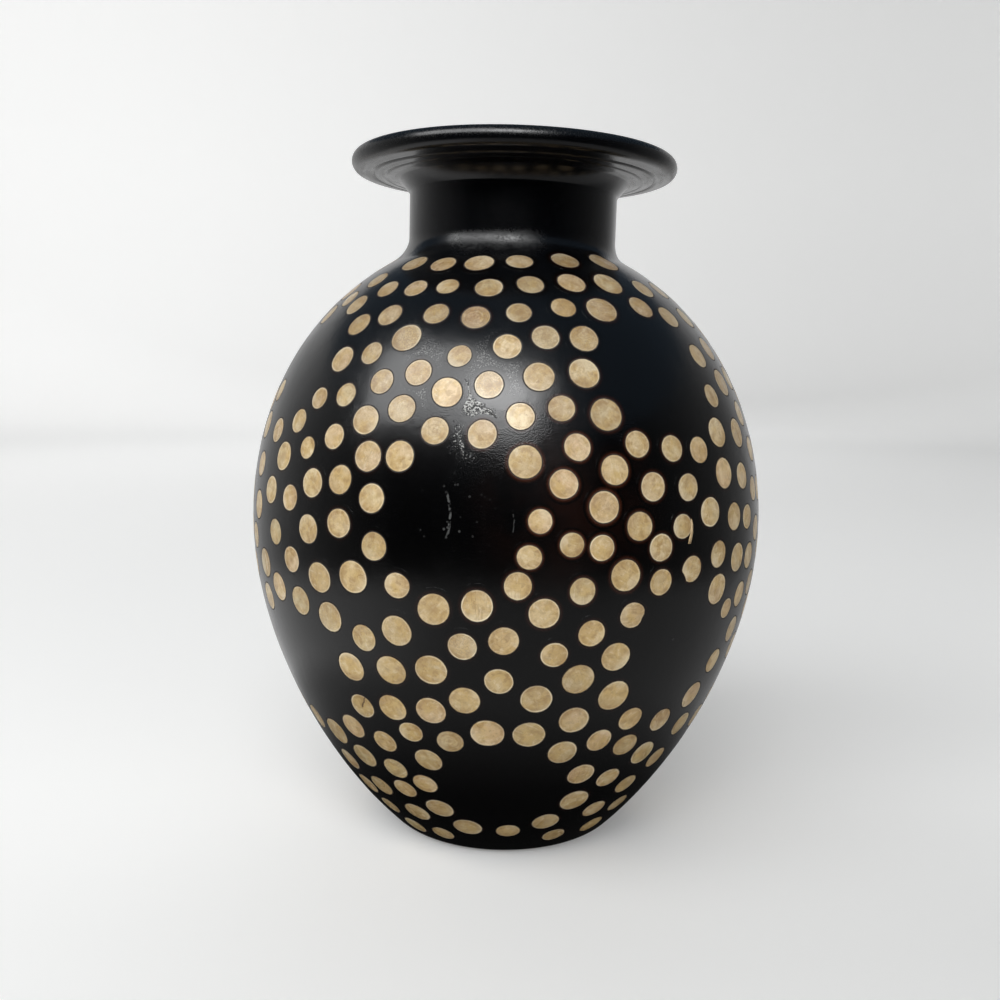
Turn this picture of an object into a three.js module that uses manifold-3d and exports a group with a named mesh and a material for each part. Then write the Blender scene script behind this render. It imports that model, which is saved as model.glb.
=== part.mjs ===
// Inlaid vase: a hollow clay core under a thick black coat, with round slices of wood
// set into the coat and ground flush with it. Millimetres and degrees, +Z up, the foot on Z = 0,
// the front of the vase towards -Y.
import * as THREE from 'three';
import { mergeVertices } from 'three/addons/utils/BufferGeometryUtils.js';
import Module from 'manifold-3d';

const wasm = await Module();
wasm.setup();

// Body outline
const bellyDiameter = 152.6;
const bellyHeight = 93.4;
const shoulderRise = 85.8;
const shoulderSlope = 61;
const shoulderPull = 27.7;
const upperBellyPull = 32.3;
const lowerBellyPull = 35.2;
const footDiameter = 65.6;
const footSlope = 46;
const footPull = 28.8;
const footEdgeRadius = 5;

// Neck and flange outline
const neckDiameter = 61.6;
const neckFillet = 13;
const neckLength = 9;
const flangeDiameter = 95.7;
const flangeFillet = 5;
const flangeRise = 7;
const lipThickness = 5.6;
const mouthDiameter = 50.4;
const mouthEdgeRadius = 2;

// The neck was joined on by hand: it stands a little off the middle and leans to the right
const neckOffset = 1.1;
const neckLean = 1.1;
const leanBelowNeck = 6.5;

// Clay core
const bodyWall = 4.5;
const neckWall = 4;
const floorThickness = 6;
const footRingWidth = 8;
const footRecess = 1.2;

// Black coat
const coatThickness = 2.2;
const neckCoatThickness = 0.8;
const coatThinsFrom = 0.3;
const coatFootHeight = 0.5;
const coatMouthDepth = 14;

// Inlay
const clearance = 0.3;
const discLand = 0.6;
const joinedDiscDepth = 0.7;
const cutterReach = 2;

// The slices nearest the round blank field in front are pieces of their own. On the belly one
// percent down the side is as long as one and a half degrees round it.
const separateDiscs = 58;
const blankFieldAngle = -12.5;
const blankFieldDown = 45;
const degreesPerPercent = 1.5;

// Faces round the vase, and round a disc that is a piece of its own or is joined to the coat
const turnFaces = 28;
const discFaces = 6;
const joinedDiscFaces = 6;

// Points closer together than this are one corner of a solid
const weldDistance = 1e-4;

// The discs, as set out by hand: angle round from the front, how far down the side from
// the neck to the foot in percent, and the diameter of the slice
const discLayout = [
  // Three courses under the neck
  [-41.6, 7.5, 7.6], [-26.1, 8.1, 7.2], [-11.4, 8.0, 8.0], [4.1, 7.6, 7.2], [23.5, 6.9, 7.9],
  [44.7, 6.6, 8.8],
  [-53.5, 11.2, 6.7], [-41.7, 13.5, 6.5], [-29.9, 13.6, 6.5], [-19.0, 13.4, 6.0], [-6.0, 13.7, 7.2],
  [6.6, 13.0, 7.1], [20.3, 12.4, 7.6], [34.4, 12.2, 8.5], [50.9, 12.7, 7.1], [65.0, 12.5, 7.0],
  [-60.0, 15.0, 6.0], [-51.0, 16.4, 7.1], [-42.8, 20.0, 7.2], [-33.3, 18.5, 7.1], [-19.2, 18.4, 6.7],
  [-8.4, 19.0, 7.4], [2.6, 18.2, 6.4], [14.8, 17.2, 6.5], [26.0, 17.4, 8.5], [41.1, 16.6, 7.4],
  [51.6, 18.1, 7.2], [65.0, 17.9, 7.2],
  // Shoulder
  [-25.1, 22.2, 8.2], [-33.3, 24.5, 6.4], [-42.1, 25.4, 7.5], [-10.9, 24.8, 6.1], [-0.3, 23.4, 7.1],
  [8.7, 22.0, 7.1], [18.1, 22.1, 7.7], [54.3, 24.4, 7.2], [64.5, 23.2, 7.2],
  [-19.6, 27.1, 7.0], [-27.9, 28.4, 6.7], [-12.6, 29.6, 7.7], [-4.0, 28.6, 7.1], [6.4, 27.5, 7.7],
  [16.4, 27.0, 8.0], [52.2, 30.2, 6.5], [61.4, 28.4, 7.8], [70.0, 27.8, 7.2],
  [-44.8, 30.9, 6.0], [-36.6, 30.3, 6.4], [-29.7, 33.4, 7.6], [-21.8, 31.8, 7.2], [-14.2, 34.4, 6.9],
  [-4.9, 34.7, 7.1], [2.4, 32.5, 6.8], [10.6, 31.5, 6.7], [19.8, 32.3, 8.3], [67.2, 33.0, 7.2],
  [-50.0, 34.1, 6.5], [-59.3, 35.7, 6.8], [-37.0, 35.7, 6.6], [-44.5, 37.4, 5.9], [-53.1, 38.9, 7.8],
  [-27.7, 37.8, 7.7], [-20.8, 37.6, 7.6], [3.2, 37.9, 8.1], [13.2, 36.2, 6.7], [25.8, 36.0, 6.8],
  [34.1, 36.7, 6.8], [41.8, 37.1, 6.9], [49.8, 35.1, 8.1], [60.0, 35.5, 8.0],
  // Belly, round the blank field in front
  [-66.3, 40.7, 7.2], [-57.0, 43.6, 7.5], [-48.3, 44.0, 6.9], [-41.2, 41.7, 7.6], [-33.7, 40.9, 7.4],
  [-26.0, 42.8, 7.3], [10.3, 40.5, 7.1], [20.4, 39.0, 7.4], [28.4, 41.2, 7.2], [37.2, 41.6, 7.0],
  [49.5, 40.4, 8.2], [58.1, 41.2, 7.2], [69.0, 38.1, 7.2],
  [-65.1, 46.2, 7.9], [-53.8, 48.9, 6.9], [-41.6, 47.5, 7.5], [-33.3, 46.2, 7.5], [-25.1, 48.5, 7.1],
  [5.9, 44.8, 5.9], [17.9, 43.3, 7.8], [25.1, 45.8, 7.2], [35.2, 46.3, 6.3], [43.4, 45.0, 7.9],
  [52.6, 46.2, 7.6], [59.7, 46.8, 6.9], [65.5, 43.4, 6.9],
  [11.7, 47.6, 6.0], [17.4, 48.1, 6.4], [4.0, 49.0, 6.0], [29.9, 48.6, 7.0], [67.5, 49.0, 7.2],
  [-60.7, 53.8, 8.1], [-68.3, 50.8, 7.2], [-47.3, 51.9, 7.0], [-54.0, 56.3, 7.8], [-45.5, 57.2, 7.8],
  [-38.6, 53.4, 8.1], [-29.9, 52.6, 8.5], [-20.4, 53.0, 6.6], [-13.4, 55.6, 8.2], [-5.3, 54.9, 8.0],
  [2.0, 52.4, 6.9], [6.9, 55.8, 7.7], [13.9, 53.2, 6.7], [22.3, 51.6, 8.1], [30.2, 52.9, 6.8],
  [38.0, 51.8, 7.0], [46.3, 50.6, 7.1], [54.6, 51.8, 7.9], [61.8, 52.3, 7.4], [47.1, 55.3, 8.3],
  [52.7, 58.6, 5.7], [59.0, 57.4, 7.2], [24.4, 56.7, 6.9],
  // Below the belly
  [-61.9, 58.7, 7.7], [-36.8, 58.4, 8.2], [-28.7, 60.4, 7.2], [-21.1, 58.8, 8.2], [-8.2, 60.2, 7.3],
  [-0.4, 59.3, 7.5], [16.2, 58.6, 7.0], [9.2, 61.2, 6.8], [21.9, 62.1, 8.0], [-33.5, 65.0, 8.4],
  [-23.4, 64.4, 8.2], [-14.7, 63.7, 8.4], [-1.3, 64.8, 7.3], [14.5, 64.8, 8.5], [-8.3, 67.8, 8.0],
  [6.3, 67.4, 8.2], [23.1, 67.8, 8.8], [59.7, 62.6, 7.4], [53.8, 66.5, 7.1],
  [-33.3, 71.0, 7.5], [-24.9, 70.2, 8.0], [-15.8, 69.8, 8.1], [-3.8, 72.8, 8.8], [5.3, 73.0, 8.4],
  [14.9, 71.0, 8.2], [-21.6, 73.8, 6.6], [-12.4, 74.6, 7.2], [-39.2, 75.3, 7.8], [-29.9, 76.5, 7.2],
  [13.6, 76.4, 7.9], [22.3, 75.0, 7.2], [29.2, 72.1, 7.2], [39.4, 73.7, 7.4], [48.9, 71.1, 8.0],
  // Towards the foot
  [-48.6, 77.9, 8.8], [-18.8, 78.5, 7.7], [30.5, 76.8, 7.5], [50.8, 76.4, 7.6], [-58.7, 77.3, 7.8],
  [-40.3, 80.9, 8.2], [-30.0, 81.6, 7.5], [38.5, 79.5, 8.1], [20.2, 81.1, 7.7], [-22.0, 83.6, 7.2],
  [29.6, 83.0, 7.2], [-51.0, 83.7, 7.4], [-30.0, 85.8, 7.1], [47.0, 82.0, 7.2],
  [-40.6, 87.1, 7.6], [-20.3, 89.0, 8.1], [21.3, 86.9, 8.5], [39.2, 86.0, 7.2], [31.3, 90.4, 7.2],
  [-49.8, 88.6, 7.4], [-30.6, 91.5, 7.9], [-12.6, 93.2, 8.3], [1.7, 93.7, 6.7], [14.3, 91.6, 7.8],
  [43.5, 91.3, 6.8], [-45.1, 92.7, 6.6], [20.1, 96.1, 6.6], [37.2, 95.7, 7.4], [-24.7, 96.6, 6.7],
  [-38.6, 96.7, 7.2],
].map(([angle, down, diameter]) => ({ angle, down, diameter }));

const rad = THREE.MathUtils.degToRad;
const vec = (r, z) => new THREE.Vector2(r, z);

// Heights and radii worked out from the driving dimensions
const bellyRadius = bellyDiameter / 2;
const footRadius = footDiameter / 2;
const neckRadius = neckDiameter / 2;
const mouthRadius = mouthDiameter / 2;
const lipRadius = lipThickness / 2;
const neckBase = bellyHeight + shoulderRise;
const neckTop = neckBase + neckLength;

// An arc in the outline's plane, from one angle to the other, in degrees
function arc(centre, radius, from, to) {
  return new THREE.EllipseCurve(centre.x, centre.y, radius, radius, rad(from), rad(to), to < from);
}

// The outside of the vase as curves in the (radius, height) plane, from the foot's edge up,
// over the lip and down into the mouth. Each curve meets the next one smoothly.
function outlineCurves() {
  const footCentre = vec(footRadius, footEdgeRadius);
  const footLow = Math.acos(1 - coatFootHeight / footEdgeRadius) * THREE.MathUtils.RAD2DEG;
  const footEdge = arc(footCentre, footEdgeRadius, -90 + footLow, -90 + footSlope);
  const sideStart = footEdge.getPoint(1);
  const slope = vec(Math.cos(rad(footSlope)), Math.sin(rad(footSlope)));
  const lowerSide = new THREE.CubicBezierCurve(
    sideStart,
    sideStart.clone().addScaledVector(slope, footPull),
    vec(bellyRadius, bellyHeight - lowerBellyPull),
    vec(bellyRadius, bellyHeight),
  );

  const neckCurve = arc(vec(neckRadius + neckFillet, neckBase), neckFillet, 180 + shoulderSlope, 180);
  const shoulderEnd = neckCurve.getPoint(0);
  const outward = vec(Math.sin(rad(shoulderSlope)), -Math.cos(rad(shoulderSlope)));
  const upperSide = new THREE.CubicBezierCurve(
    vec(bellyRadius, bellyHeight),
    vec(bellyRadius, bellyHeight + upperBellyPull),
    shoulderEnd.clone().addScaledVector(outward, shoulderPull),
    shoulderEnd,
  );

  const neck = new THREE.LineCurve(vec(neckRadius, neckBase), vec(neckRadius, neckTop));
  const filletCentre = vec(neckRadius + flangeFillet, neckTop);
  const underFillet = arc(filletCentre, flangeFillet, 180, 90 + flangeRise);
  const undersideStart = underFillet.getPoint(1);
  const lipCentreRadius = flangeDiameter / 2 - lipRadius;
  const undersideEndRadius = lipCentreRadius + lipRadius * Math.sin(rad(flangeRise));
  const rise = (undersideEndRadius - undersideStart.x) * Math.tan(rad(flangeRise));
  const undersideEnd = vec(undersideEndRadius, undersideStart.y + rise);
  const underside = new THREE.LineCurve(undersideStart, undersideEnd);
  const lipCentre = vec(lipCentreRadius, undersideEnd.y + lipRadius * Math.cos(rad(flangeRise)));
  const lip = arc(lipCentre, lipRadius, -90 + flangeRise, 90);
  const topHeight = lipCentre.y + lipRadius;

  const mouthCentre = vec(mouthRadius + mouthEdgeRadius, topHeight - mouthEdgeRadius);
  const top = new THREE.LineCurve(vec(lipCentreRadius, topHeight), vec(mouthCentre.x, topHeight));
  const mouthEdge = arc(mouthCentre, mouthEdgeRadius, 90, 180);
  const mouth = new THREE.LineCurve(
    vec(mouthRadius, mouthCentre.y),
    vec(mouthRadius, topHeight - coatMouthDepth),
  );
  return { footEdge, lowerSide, upperSide, neckCurve, neck, underFillet, underside, lip, top, mouthEdge, mouth };
}

const curves = outlineCurves();
const steps = {
  footEdge: 1, lowerSide: 5, upperSide: 5, neckCurve: 3, neck: 1, underFillet: 2,
  underside: 1, lip: 4, top: 1, mouthEdge: 2, mouth: 1,
};

// How far a curve belongs to the neck (1) or to the body (0). The coat thins in the neck's fillet.
function neckShare(name, t) {
  if (name === 'footEdge' || name === 'lowerSide' || name === 'upperSide') return 0;
  return name === 'neckCurve' ? THREE.MathUtils.smoothstep(t, coatThinsFrom, 1) : 1;
}

// The outline as points, each with its outward direction and its coat and wall thickness
function outlinePoints() {
  const points = [];
  for (const [name, curve] of Object.entries(curves)) {
    for (let i = points.length ? 1 : 0; i <= steps[name]; i += 1) {
      const t = i / steps[name];
      const tangent = curve.getTangent(t);
      const share = neckShare(name, t);
      points.push({
        name,
        at: curve.getPoint(t),
        out: vec(tangent.y, -tangent.x),
        coat: THREE.MathUtils.lerp(coatThickness, neckCoatThickness, share),
        wall: THREE.MathUtils.lerp(bodyWall, neckWall, share),
      });
    }
  }
  return points;
}

const outline = outlinePoints();

// The outline moved inwards by a depth that each point works out
const inset = (points, depth) => points.map((p) => p.at.clone().addScaledVector(p.out, -depth(p)));
const underCoat = (p) => p.coat + clearance;

// Turns a closed profile round the axis
function turned(profile) {
  return new THREE.LatheGeometry(profile, turnFaces).rotateX(Math.PI / 2);
}

// A closed geometry as a solid that can be cut
function solid(geometry) {
  const bare = geometry.clone();
  bare.deleteAttribute('normal');
  bare.deleteAttribute('uv');
  const merged = mergeVertices(bare.index ? bare.toNonIndexed() : bare, weldDistance);
  const triVerts = new Uint32Array(merged.index.array);
  const vertProperties = new Float32Array(merged.attributes.position.array);
  return new wasm.Manifold(new wasm.Mesh({ numProp: 3, vertProperties, triVerts }));
}

// A solid as a geometry with flat faces
function geometryOf(body) {
  const mesh = body.getMesh();
  const geometry = new THREE.BufferGeometry();
  const positions = [];
  for (let i = 0; i < mesh.numVert; i += 1) {
    positions.push(...mesh.vertProperties.slice(i * mesh.numProp, i * mesh.numProp + 3));
  }
  geometry.setAttribute('position', new THREE.Float32BufferAttribute(positions, 3));
  geometry.setIndex([...mesh.triVerts]);
  return geometry;
}

// A line of points that comes down, ended at a height: cut there, or carried on to it
function downTo(points, height) {
  const below = points.findIndex((p) => p.y <= height);
  const last = below < 0 ? points.length - 1 : below;
  const [from, to] = [points[last - 1], points[last]];
  const end = from.clone().lerp(to, (from.y - height) / (from.y - to.y));
  return [...points.slice(0, below < 0 ? points.length : below), end];
}

// The clay core: the outline without its coat, closed under the foot and hollow inside
function coreProfile() {
  const outside = inset(outline, underCoat);
  const footOuter = outside[0].x - clearance;
  const footInner = footOuter - footRingWidth;
  const throat = neckBase - neckWall;
  const bore = outside.at(-1).x;
  const walls = ['footEdge', 'lowerSide', 'upperSide', 'neckCurve'];
  const inside = inset(outline.slice(1).filter((p) => walls.includes(p.name)), (p) => underCoat(p) + p.wall)
    .filter((p) => p.x > bore && p.y < throat)
    .reverse();
  const cavity = downTo(inside, floorThickness);
  return [
    vec(0, footRecess),
    vec(footInner - footRecess, footRecess),
    vec(footInner, 0),
    vec(footOuter, 0),
    vec(footOuter, outside[0].y - clearance),
    ...outside,
    vec(bore, throat),
    ...cavity,
    vec(0, floorThickness),
  ];
}

// The coat: a skin between the outline and the same outline moved inwards
function coatProfile() {
  const outside = outline.map((p) => p.at);
  const inside = inset(outline, (p) => p.coat).reverse();
  return [...outside, ...inside, outside[0]];
}

// The outline filled to the axis, which gives the slices their rounded tops
function filledProfile() {
  const outside = outline.map((p) => p.at);
  return [vec(0, outside[0].y), ...outside, vec(0, outside.at(-1).y)];
}

// Points down the side between the neck and the foot, evenly spaced, to measure the layout along
const sidePath = new THREE.CurvePath();
sidePath.curves.push(curves.lowerSide, curves.upperSide, curves.neckCurve);
const sideOut = (u) => {
  const tangent = sidePath.getTangentAt(u);
  return vec(tangent.y, -tangent.x);
};

// Where a disc sits: its centre on the outside of the vase and its outward direction
function seatOf(disc) {
  const u = 1 - disc.down / 100;
  const at = sidePath.getPointAt(u);
  const out = sideOut(u);
  const [s, c] = [Math.sin(rad(disc.angle)), -Math.cos(rad(disc.angle))];
  return {
    ...disc,
    centre: new THREE.Vector3(at.x * s, at.x * c, at.y),
    normal: new THREE.Vector3(out.x * s, out.x * c, out.y),
  };
}

// The seats, each kept small enough to leave a land of coat to its neighbours
function seatsOf(layout) {
  const seats = layout.map(seatOf);
  return seats.map((seat, i) => {
    let share = 1;
    seats.forEach((other, j) => {
      if (i === j) return;
      const room = seat.centre.distanceTo(other.centre) - discLand - 2 * clearance;
      share = Math.min(share, (2 * room) / (seat.diameter + other.diameter));
    });
    return { ...seat, radius: (seat.diameter / 2) * share };
  });
}

// A cutter for a seat: a prism along the seat's direction, from a depth below the surface to above it
function plug(seat, radius, faces, depth) {
  const prism = new THREE.CylinderGeometry(radius, radius, depth + cutterReach, faces);
  prism.translate(0, (cutterReach - depth) / 2, 0);
  const turn = new THREE.Quaternion().setFromUnitVectors(new THREE.Vector3(0, 1, 0), seat.normal);
  return solid(prism.applyQuaternion(turn).translate(...seat.centre));
}

// Above the shoulder everything follows the neck's lean and its place off the middle
function settle(geometry) {
  const position = geometry.attributes.position;
  const start = neckBase - leanBelowNeck;
  for (let i = 0; i < position.count; i += 1) {
    const [x, z] = [position.getX(i), position.getZ(i)];
    const share = THREE.MathUtils.smoothstep(z, start, neckTop);
    const lean = rad(neckLean) * share;
    position.setX(i, x * Math.cos(lean) + (z - start) * Math.sin(lean) + neckOffset * share);
    position.setZ(i, start + (z - start) * Math.cos(lean) - x * Math.sin(lean));
  }
  return geometry;
}

const clay = new THREE.MeshStandardMaterial({ color: 0x9a5f40, roughness: 0.85, metalness: 0 });
const lacquer = new THREE.MeshStandardMaterial({ color: 0x0b0b0d, roughness: 0.22, metalness: 0 });
const wood = new THREE.MeshStandardMaterial({ color: 0xcdaa78, roughness: 0.5, metalness: 0 });

function piece(name, body, material) {
  const flat = settle(geometryOf(body)).toNonIndexed();
  flat.computeVertexNormals();
  const mesh = new THREE.Mesh(flat, material);
  mesh.name = name;
  return mesh;
}

const seats = seatsOf(discLayout);
const fromBlankField = ({ angle, down }) => (
  Math.hypot(angle - blankFieldAngle, (down - blankFieldDown) * degreesPerPercent)
);
const nearest = [...seats].sort((a, b) => fromBlankField(a) - fromBlankField(b));
const separate = nearest.slice(0, separateDiscs);
const joined = nearest.slice(separateDiscs);

const fullCoat = solid(turned(coatProfile()));
const filled = solid(turned(filledProfile()));
const windowDepth = coatThickness + bodyWall;
const windows = separate.map((seat) => plug(seat, seat.radius + clearance, discFaces, windowDepth));
const joinedFaces = joined.map((seat) => plug(seat, seat.radius, joinedDiscFaces, joinedDiscDepth));
const coat = fullCoat.subtract(wasm.Manifold.union([...windows, ...joinedFaces]));

const vase = new THREE.Group();
vase.add(piece('core_vessel', solid(turned(coreProfile())), clay));
vase.add(piece('lacquer_coat', coat, lacquer));
separate.forEach((seat, i) => {
  const slice = plug(seat, seat.radius, discFaces, coatThickness).intersect(filled);
  vase.add(piece(`inlay_disc_${String(i + 1).padStart(2, '0')}`, slice, wood));
});

export default vase;
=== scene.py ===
import bpy
import random
import numpy as np
from math import acos, atan2, cos, degrees, pi, radians, sin, tan
from mathutils import Matrix, Vector, noise


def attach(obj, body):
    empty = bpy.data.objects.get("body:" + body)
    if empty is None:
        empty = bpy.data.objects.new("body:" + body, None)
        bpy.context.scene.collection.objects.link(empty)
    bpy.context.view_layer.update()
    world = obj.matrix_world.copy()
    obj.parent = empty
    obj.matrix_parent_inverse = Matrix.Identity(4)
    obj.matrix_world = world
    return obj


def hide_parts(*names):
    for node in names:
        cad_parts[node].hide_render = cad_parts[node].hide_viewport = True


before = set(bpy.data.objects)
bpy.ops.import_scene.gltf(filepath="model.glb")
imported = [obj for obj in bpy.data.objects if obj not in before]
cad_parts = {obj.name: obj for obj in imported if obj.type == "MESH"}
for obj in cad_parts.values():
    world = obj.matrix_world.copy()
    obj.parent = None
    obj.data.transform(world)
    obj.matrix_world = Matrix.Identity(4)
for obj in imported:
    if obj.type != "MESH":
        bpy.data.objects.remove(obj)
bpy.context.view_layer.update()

MM = 0.001

# Outline of the vase in millimetres and degrees, as the solids have it, but with a tighter fillet
# at the foot of the neck, and the neck's place off the middle reached lower down
BELLY_RADIUS = 76.3
BELLY_HEIGHT = 93.4
NECK_BASE = 176.3
SHOULDER_SLOPE = 61
SHOULDER_PULL = 30.6
UPPER_BELLY_PULL = 32.3
LOWER_BELLY_PULL = 35.2
FOOT_RADIUS = 32.8
FOOT_SLOPE = 46
FOOT_PULL = 28.8
FOOT_EDGE_RADIUS = 5
COAT_FOOT_HEIGHT = 0.5
NECK_RADIUS = 30.8
NECK_FILLET = 8
NECK_TOP = 188.2
FLANGE_RADIUS = 47.85
FLANGE_FILLET = 5
FLANGE_RISE = 7
LIP_RADIUS = 2.8
MOUTH_RADIUS = 25.2
MOUTH_EDGE_RADIUS = 2
COAT_MOUTH_DEPTH = 14
NECK_OFFSET = 1.1
NECK_LEAN = 1.1
LEAN_START = 166
LEAN_END = 176
LEAN_PIVOT = 172.7
COAT = 2.2
NECK_COAT = 0.8
COAT_THINS_FROM = 0.3
CLEARANCE = 0.3
BODY_WALL = 4.5
NECK_WALL = 4
FLOOR = 6
FOOT_RING_WIDTH = 8
FOOT_RECESS = 1.2
DISC_LAND = 0.6

# The slices as set out in front: degrees round from the middle of the front, how far down the side
# from the neck to the foot in percent, and the diameter of the slice in millimetres
FRONT_SLICES = [
    # Three courses under the neck
    (-41.6, 7.5, 7.6), (-26.1, 8.1, 7.2), (-11.4, 8.0, 8.0), (4.1, 7.6, 7.2), (23.5, 6.9, 7.9),
    (44.7, 6.6, 8.8),
    (-53.5, 11.2, 6.7), (-41.7, 13.5, 6.5), (-29.9, 13.6, 6.5), (-19.0, 13.4, 6.0), (-6.0, 13.7, 7.2),
    (6.6, 13.0, 7.1), (20.3, 12.4, 7.6), (34.4, 12.2, 8.5), (50.9, 12.7, 7.1), (65.0, 12.5, 7.0),
    (-60.0, 15.0, 6.0), (-51.0, 16.4, 7.1), (-42.8, 20.0, 7.2), (-33.3, 18.5, 7.1), (-19.2, 18.4, 6.7),
    (-8.4, 19.0, 7.4), (2.6, 18.2, 6.4), (14.8, 17.2, 6.5), (26.0, 17.4, 8.5), (41.1, 16.6, 7.4),
    (51.6, 18.1, 7.2), (65.0, 17.9, 7.2),
    # Shoulder
    (-25.1, 22.2, 8.2), (-33.3, 24.5, 6.4), (-42.1, 25.4, 7.5), (-10.9, 24.8, 6.1), (-0.3, 23.4, 7.1),
    (8.7, 22.0, 7.1), (18.1, 22.1, 7.7), (54.3, 24.4, 7.2), (64.5, 23.2, 7.2),
    (-19.6, 27.1, 7.0), (-27.9, 28.4, 6.7), (-12.6, 29.6, 7.7), (-4.0, 28.6, 7.1), (6.4, 27.5, 7.7),
    (16.4, 27.0, 8.0), (52.2, 30.2, 6.5), (61.4, 28.4, 7.8), (70.0, 27.8, 7.2),
    (-44.8, 30.9, 6.0), (-36.6, 30.3, 6.4), (-29.7, 33.4, 7.6), (-21.8, 31.8, 7.2), (-14.2, 34.4, 6.9),
    (-4.9, 34.7, 7.1), (2.4, 32.5, 6.8), (10.6, 31.5, 6.7), (19.8, 32.3, 8.3), (67.2, 33.0, 7.2),
    (-50.0, 34.1, 6.5), (-59.3, 35.7, 6.8), (-37.0, 35.7, 6.6), (-44.5, 37.4, 5.9), (-53.1, 38.9, 7.8),
    (-27.7, 37.8, 7.7), (-20.8, 37.6, 7.6), (3.2, 37.9, 8.1), (13.2, 36.2, 6.7), (25.8, 36.0, 6.8),
    (34.1, 36.7, 6.8), (41.8, 37.1, 6.9), (49.8, 35.1, 8.1), (60.0, 35.5, 8.0),
    # Belly, round the blank field in front
    (-66.3, 40.7, 7.2), (-57.0, 43.6, 7.5), (-48.3, 44.0, 6.9), (-41.2, 41.7, 7.6), (-33.7, 40.9, 7.4),
    (-26.0, 42.8, 7.3), (10.3, 40.5, 7.1), (20.4, 39.0, 7.4), (28.4, 41.2, 7.2), (37.2, 41.6, 7.0),
    (49.5, 40.4, 8.2), (58.1, 41.2, 7.2), (69.0, 38.1, 7.2),
    (-65.1, 46.2, 7.9), (-53.8, 48.9, 6.9), (-41.6, 47.5, 7.5), (-33.3, 46.2, 7.5), (-25.1, 48.5, 7.1),
    (5.9, 44.8, 5.9), (17.9, 43.3, 7.8), (25.1, 45.8, 7.2), (35.2, 46.3, 6.3), (43.4, 45.0, 7.9),
    (52.6, 46.2, 7.6), (59.7, 46.8, 6.9), (65.5, 43.4, 6.9),
    (11.7, 47.6, 6.0), (17.4, 48.1, 6.4), (4.0, 49.0, 6.0), (29.9, 48.6, 7.0), (67.5, 49.0, 7.2),
    (-60.7, 53.8, 8.1), (-68.3, 50.8, 7.2), (-47.3, 51.9, 7.0), (-54.0, 56.3, 7.8), (-45.5, 57.2, 7.8),
    (-38.6, 53.4, 8.1), (-29.9, 52.6, 8.5), (-20.4, 53.0, 6.6), (-13.4, 55.6, 8.2), (-5.3, 54.9, 8.0),
    (2.0, 52.4, 6.9), (6.9, 55.8, 7.7), (13.9, 53.2, 6.7), (22.3, 51.6, 8.1), (30.2, 52.9, 6.8),
    (38.0, 51.8, 7.0), (46.3, 50.6, 7.1), (54.6, 51.8, 7.9), (61.8, 52.3, 7.4), (47.1, 55.3, 8.3),
    (52.7, 58.6, 5.7), (59.0, 57.4, 7.2), (24.4, 56.7, 6.9),
    # Below the belly
    (-61.9, 58.7, 7.7), (-36.8, 58.4, 8.2), (-28.7, 60.4, 7.2), (-21.1, 58.8, 8.2), (-8.2, 60.2, 7.3),
    (-0.4, 59.3, 7.5), (16.2, 58.6, 7.0), (9.2, 61.2, 6.8), (21.9, 62.1, 8.0), (-33.5, 65.0, 8.4),
    (-23.4, 64.4, 8.2), (-14.7, 63.7, 8.4), (-1.3, 64.8, 7.3), (14.5, 64.8, 8.5), (-8.3, 67.8, 8.0),
    (6.3, 67.4, 8.2), (23.1, 67.8, 8.8), (59.7, 62.6, 7.4), (53.8, 66.5, 7.1),
    (-33.3, 71.0, 7.5), (-24.9, 70.2, 8.0), (-15.8, 69.8, 8.1), (-3.8, 72.8, 8.8), (5.3, 73.0, 8.4),
    (14.9, 71.0, 8.2), (-21.6, 73.8, 6.6), (-12.4, 74.6, 7.2), (-39.2, 75.3, 7.8), (-29.9, 76.5, 7.2),
    (13.6, 76.4, 7.9), (22.3, 75.0, 7.2), (29.2, 72.1, 7.2), (39.4, 73.7, 7.4), (48.9, 71.1, 8.0),
    # Towards the foot
    (-48.6, 77.9, 8.8), (-18.8, 78.5, 7.7), (30.5, 76.8, 7.5), (50.8, 76.4, 7.6), (-58.7, 77.3, 7.8),
    (-40.3, 80.9, 8.2), (-30.0, 81.6, 7.5), (38.5, 79.5, 8.1), (20.2, 81.1, 7.7), (-22.0, 83.6, 7.2),
    (29.6, 83.0, 7.2), (-51.0, 83.7, 7.4), (-30.0, 85.8, 7.1), (47.0, 82.0, 7.2),
    (-40.6, 87.1, 7.6), (-20.3, 89.0, 8.1), (21.3, 86.9, 8.5), (39.2, 86.0, 7.2), (31.3, 90.4, 7.2),
    (-49.8, 88.6, 7.4), (-30.6, 91.5, 7.9), (-12.6, 93.2, 8.3), (1.7, 93.7, 6.7), (14.3, 91.6, 7.8),
    (43.5, 91.3, 6.8), (-45.1, 92.7, 6.6), (20.1, 96.1, 6.6), (37.2, 95.7, 7.4), (-24.7, 96.6, 6.7),
    (-38.6, 96.7, 7.2),
]

# Round fields that the pattern leaves black: angle, how far down, and radius in millimetres.
# Each row has three of them, a step apart, and is turned by about half a step from the one above.
BLANK_FIELDS = [
    (41.5, 24.0, 12.0), (-12.5, 45.0, 18.5), (46.0, 64.0, 15.0), (-2.0, 83.0, 15.5),
]
FIELD_STEP = 120

# How far outside such a field the middle of a slice stays, as a share of the slice's radius
FIELD_GAP = 0.6

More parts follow.
